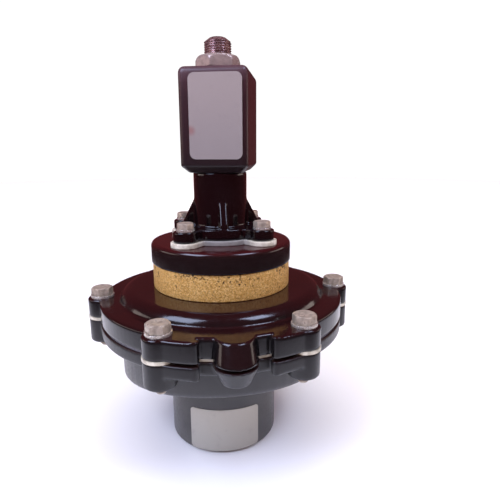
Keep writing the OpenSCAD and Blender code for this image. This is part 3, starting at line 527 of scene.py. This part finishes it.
def make_pilot_bolts():
    """Four M6 bolts that clamp the pilot body through the ring."""
    form = bmesh.new()
    for turn, (x, y) in zip(PILOT_BOLT_TURNS, [(-1, -1), (1, -1), (-1, 1), (1, 1)]):
        place = Matrix.Translation(Vector((x, y, 0)) * PILOT_BOLT_SPACING * MM)
        screw(form, PILOT_FLANGE_TOP + PILOT_WASHER, math.radians(turn), place, **M6_BOLT)
    make_piece("pilot_bolts_threaded", form, bolt_steel, "housing", ["pilot_bolts"])


def make_sintered_ring():
    """The silencer ring with its grains as real bumps, some broken out near the upper edge."""
    rng = np.random.default_rng(SEED)
    around, up = 1100, 58
    wide, tall = math.tau * RING_RADIUS, RING_HIGH - RING_LOW
    grain_area, grain_reach, grain_height = 0.42, 0.48, 0.22
    sunk, broken_out, worn_edge = 0.2, -0.6, 0.5
    count = int(wide * tall / grain_area)
    grains = rng.uniform((0, 0), (wide, tall), (count, 2))
    swell = rng.uniform(0.55, 1.0, count)
    swell[rng.random(count) < 0.03 + 0.09 * (grains[:, 1] / tall) ** 4] = broken_out
    tree = kdtree.KDTree(count * 2)
    for i, (u, v) in enumerate(grains):
        tree.insert((u, v, 0), i)
        tree.insert((u - wide if u > wide / 2 else u + wide, v, 0), i)
    tree.balance()
    rings = []
    for j in range(up + 1):
        v = tall * j / up
        ring = []
        edge = min(v, tall - v)
        for i in range(around):
            u = wide * i / around
            _, index, gap = tree.find((u, v, 0))
            bump = swell[index] * max(0.0, 1 - (gap / grain_reach) ** 2) * grain_height
            radius = RING_RADIUS - sunk + bump - worn_edge * max(0.0, 1 - edge / worn_edge) ** 2
            angle = math.tau * i / around
            ring.append((radius * math.cos(angle), radius * math.sin(angle), RING_LOW + v))
        rings.append(ring)
    inner = [circle(RING_BORE, RING_HIGH, around), circle(RING_BORE, RING_LOW, around)]
    form = add_rings(bmesh.new(), rings + inner)
    make_piece("sintered_ring_grains", form, bronze, "housing", ["silencer_ring"], smooth=70)


def make_threaded_core():
    """The fixed core with the real 1.5 mm thread on its stub."""
    bore, bore_end = 4.2, 230.6
    core, core_foot, core_top = 7.7, 224.6, 258.9
    neck, neck_top = 8.1, 259.4
    stub, thread_foot = 9.0, 259.5
    cut = STUB_TOP - 3.0

    def chamfered(ring):
        out = []
        for x, y, z in ring:
            limit = stub - max(0.0, z - cut) * 4.0 / 3.0
            r = math.hypot(x, y)
            k = min(1.0, limit / r)
            out.append((x * k, y * k, z))
        return out

    below_thread = [
        (bore, bore_end), (bore, core_foot), (core, core_foot), (core, core_top),
        (neck, core_top), (neck, neck_top),
    ]
    threads = thread_rings(stub, 0.9, 1.5, thread_foot, STUB_TOP - 0.4, run_out=0.5, steps=96)
    stub_end = [(4.9, 0.25), (4.6, 0.0), (1.4, 0.0), (1.0, 0.7)]
    rings = [[(0, 0, bore_end)]] + [circle(radius, z, 96) for radius, z in below_thread]
    rings += [chamfered(ring) for ring in threads]
    rings += [circle(radius, STUB_TOP - under, 96) for radius, under in stub_end]
    rings.append([(0, 0, STUB_TOP - 0.9)])
    form = add_rings(bmesh.new(), rings, closed=False)
    make_piece("fixed_core_threaded", form, stub_steel, "housing", ["fixed_core"])


def make_coil_nut():
    """The coil nut: a hexagon whose corners are turned off in one deep round chamfer."""
    corner = hexagon(NUT_FLATS, math.radians(NUT_TURN))
    start, crown, reach = NUT_FOOT + 2.4, 10.8, 15.2
    bore, foot, levels = 9.05, 0.3, 12
    rings = [circle(bore, NUT_FOOT, 96), circle(lambda a: corner(a) - foot, NUT_FOOT, 96)]
    for k in range(levels + 1):
        z = NUT_FOOT + foot + (NUT_TOP - NUT_FOOT - foot) * k / levels
        t = max(0.0, (z - start) / (NUT_TOP - start))
        limit = crown + (reach - crown) * math.sqrt(1 - t * t)
        rings.append(circle(lambda a: min(corner(a), limit), z, 96))
    rings += [circle(10.2, NUT_TOP, 96), circle(bore, NUT_TOP - 0.9, 96)]
    form = add_rings(bmesh.new(), rings)
    make_piece("coil_nut_chamfered", form, nut_nickel, "housing", ["coil_nut"], smooth=24)


def make_port_thread(name, place):
    """Pipe thread, eleven turns to the inch, in a port; its crests stand into the bore."""
    start, end = 0.8, 25.5
    rings = thread_rings(
        PORT_RADIUS - 0.02, PORT_THREAD_DEPTH, PORT_THREAD_PITCH, start, end, run_out=2.0, steps=96)
    sleeve = [circle(PORT_RADIUS - 0.01, end, 96), circle(PORT_RADIUS - 0.01, start, 96)]
    form = add_rings(bmesh.new(), rings + sleeve, place=place)
    make_piece(name, form, body_satin, "housing", smooth=60)


def plate_grid(wide, tall, corner, across, rows):
    """Rows of points over a plate with rounded corners, as (sideways, upwards)."""
    curve = [corner * (1 - math.cos(math.pi / 2 * i / 8)) for i in range(9)]
    straight = [tall * i / rows for i in range(1, rows) if corner < tall * i / rows < tall - corner]
    heights = sorted({0.0, tall, *curve, *[tall - rise for rise in curve], *straight})
    grid = []
    for v in heights:
        edge = min(v, tall - v)
        inset = corner - math.sqrt(max(0.0, corner ** 2 - (corner - edge) ** 2)) if edge < corner else 0.0
        half = wide / 2 - inset
        grid.append([(half * (2 * i / across - 1), v) for i in range(across + 1)])
    return grid


def make_label(name, grid, lay, finish):
    """A thin label laid on a surface: lay gives a point at (sideways, upwards, height off the surface)."""
    form = bmesh.new()
    layers = [[[form.verts.new(Vector(lay(u, v, off)) * MM) for u, v in row] for row in grid]
              for off in (LABEL_LIFT, LABEL_THICKNESS)]
    for skin in layers:
        for a, b in zip(skin, skin[1:]):
            for i in range(len(a) - 1):
                form.faces.new((a[i], a[i + 1], b[i + 1], b[i]))
    low, high = layers
    rim_low = low[0] + [r[-1] for r in low[1:-1]] + low[-1][::-1] + [r[0] for r in low[-2:0:-1]]
    rim_high = high[0] + [r[-1] for r in high[1:-1]] + high[-1][::-1] + [r[0] for r in high[-2:0:-1]]
    for i in range(len(rim_low)):
        k = (i + 1) % len(rim_low)
        form.faces.new((rim_low[i], rim_low[k], rim_high[k], rim_high[i]))
    make_piece(name, form, finish, "housing")


def lay_on_coil(u, v, off):
    """On the coil's front face, which is turned with the coil."""
    x, y = u + LABEL_SIDE, -COIL_FRONT - off
    return (x * math.cos(COIL_TURN) - y * math.sin(COIL_TURN),
            x * math.sin(COIL_TURN) + y * math.cos(COIL_TURN), COIL_LABEL_FOOT + v)


def lay_on_barrel(u, v, off):
    """Wrapped round the barrel's front, a little askew."""
    angle = math.radians(BARREL_LABEL_TURN) + u / BARREL_RADIUS
    rise, wide, tall = 0.6, 50, 32
    height = BARREL_LABEL_FOOT + v + rise * math.sin((u + wide / 2) / wide * math.pi) * v / tall
    radius = BARREL_RADIUS + off
    return radius * math.cos(angle), radius * math.sin(angle), height


make_cover_bolts()
make_pilot_bolts()
make_sintered_ring()
make_threaded_core()
make_coil_nut()
inlet = Matrix.Translation((0, INLET_END * MM, INLET_HEIGHT * MM)) @ Matrix.Rotation(math.pi / 2, 4, "X")
make_port_thread("outlet_thread", Matrix.Identity(4))
make_port_thread("inlet_thread", inlet)
make_label("coil_label", plate_grid(34.3, 53.2, 4.0, 12, 8), lay_on_coil, label_on_coil)
make_label("barrel_label", plate_grid(50.7, 31.2, 2.5, 36, 6), lay_on_barrel, label_on_barrel)


# Floor, light and camera

def make_floor():
    """Pale paper to the horizon, a pale wall round it, and the table top as the enamel mirrors it."""
    room_reach, sheen_reach, floor_drop = 3.0, 0.7, 0.0006
    paper, shade, place, _ = start_finish("pale_paper", "#f4f4f4", 0.9)
    away = put(paper, "VectorMath", {0: place}, operation="LENGTH").outputs["Value"]
    shade.inputs["Emission Color"].default_value = linear("#f4f4f4")
    join(paper, between(paper, away, 0.5, 1.6, 0.0, 0.9), shade, "Emission Strength")
    wall = empty_finish("pale_wall")
    glow = put(wall, "Emission", {"Color": linear("#fafafa"), "Strength": 1.1})
    put(wall, "OutputMaterial", {"Surface": glow.outputs["Emission"]})
    floor = bmesh.new()
    bmesh.ops.create_circle(floor, cap_ends=True, radius=room_reach, segments=96)
    bmesh.ops.translate(floor, verts=floor.verts, vec=(0, 0, -floor_drop))
    screen = bmesh.new()
    bmesh.ops.create_cone(screen, segments=96, radius1=room_reach, radius2=room_reach, depth=2 * room_reach)
    sheet = bmesh.new()
    bmesh.ops.create_circle(sheet, cap_ends=True, radius=sheen_reach, segments=64)
    table = empty_finish("table_seen_in_gloss")
    place = put(table, "TexCoord", {}).outputs["Object"]
    away = put(table, "VectorMath", {0: place, 1: Vector((0.0, 0.115, 0.0))}, operation="DISTANCE")
    faded = between(table, away.outputs["Value"], 0.26, 0.52)
    shine = put(table, "BsdfDiffuse", {"Color": ramp(table, faded, (0.0, "#f4f4f4"), (1.0, "#3a2426"))})
    put(table, "OutputMaterial", {"Surface": shine.outputs["BSDF"]})
    pieces = (
        ("paper_floor", floor, paper, (True, True, False)),
        ("pale_screen", screen, wall, (True, False, False)),
        ("table_sheen", sheet, table, (False, False, True)),
    )
    for name, built, look, seen_by in pieces:
        mesh = bpy.data.meshes.new(name)
        built.to_mesh(mesh)
        built.free()
        mesh.materials.append(look)
        made = bpy.data.objects.new(name, mesh)
        bpy.context.scene.collection.objects.link(made)
        made.visible_camera, made.visible_diffuse, made.visible_glossy = seen_by
        made.visible_transmission, made.visible_shadow = False, name == "paper_floor"


def make_lamp(name, toward, height, distance, size, radiance, colour, in_gloss=True):
    """A soft flat lamp aimed at the valve from an angle round the front and one above the horizon."""
    a, e = math.radians(toward), math.radians(height)
    way = Vector((math.sin(a) * math.cos(e), -math.cos(a) * math.cos(e), math.sin(e)))
    lamp = bpy.data.lights.new(name, "AREA")
    lamp.shape = "RECTANGLE"
    lamp.size, lamp.size_y = size
    lamp.energy = radiance * math.pi * size[0] * size[1]
    lamp.color = linear(colour)[:3]
    made = bpy.data.objects.new(name, lamp)
    made.location = way * distance + Vector((0, 0, 0.12))
    made.rotation_euler = (-way).to_track_quat("-Z", "Y").to_euler()
    made.visible_glossy = in_gloss
    bpy.context.scene.collection.objects.link(made)


make_floor()
make_lamp("window_left", -58, 44, 1.3, (0.75, 0.7), 10.0, "#cddcff")
make_lamp("window_right", 46, 52, 1.3, (0.5, 0.5), 11.0, "#cddcff")
make_lamp("side_left", -95, 8, 1.3, (0.8, 0.3), 2.1, "#fff0e8")
make_lamp("side_right", 95, 8, 1.3, (0.8, 0.3), 2.1, "#fff0e8")
make_lamp("front_fill", 0, 30, 1.6, (1.6, 1.0), 0.9, "#fff8f0", in_gloss=False)
make_lamp("overhead", 0, 88, 1.8, (2.4, 2.4), 2.4, "#ffffff", in_gloss=False)

room = bpy.data.worlds.new("dim_room")
room.use_nodes = True
room.node_tree.nodes["Background"].inputs["Color"].default_value = linear("#7a3a3d")
room.node_tree.nodes["Background"].inputs["Strength"].default_value = 0.8
bpy.context.scene.world = room
bpy.context.scene.view_settings.view_transform = "Standard"

EYE_PLACE = (-0.0254, -0.3150, 0.2105)
EYE_HEADING, EYE_DIP, EYE_TILT = -8.37, 12.51, -0.21
eye = bpy.data.cameras.new("photograph_view")
eye.lens, eye.sensor_width, eye.sensor_fit = 32.19, 36.0, "HORIZONTAL"
eye.clip_start, eye.clip_end = 0.01, 20.0
camera = bpy.data.objects.new("photograph_view", eye)
camera.matrix_world = (
    Matrix.Translation(EYE_PLACE)
    @ Matrix.Rotation(math.radians(EYE_HEADING), 4, "Z")
    @ Matrix.Rotation(math.radians(90 - EYE_DIP), 4, "X")
    @ Matrix.Rotation(math.radians(EYE_TILT), 4, "Z")
)
bpy.context.scene.collection.objects.link(camera)
bpy.context.scene.camera = camera

bpy.context.view_layer.update()
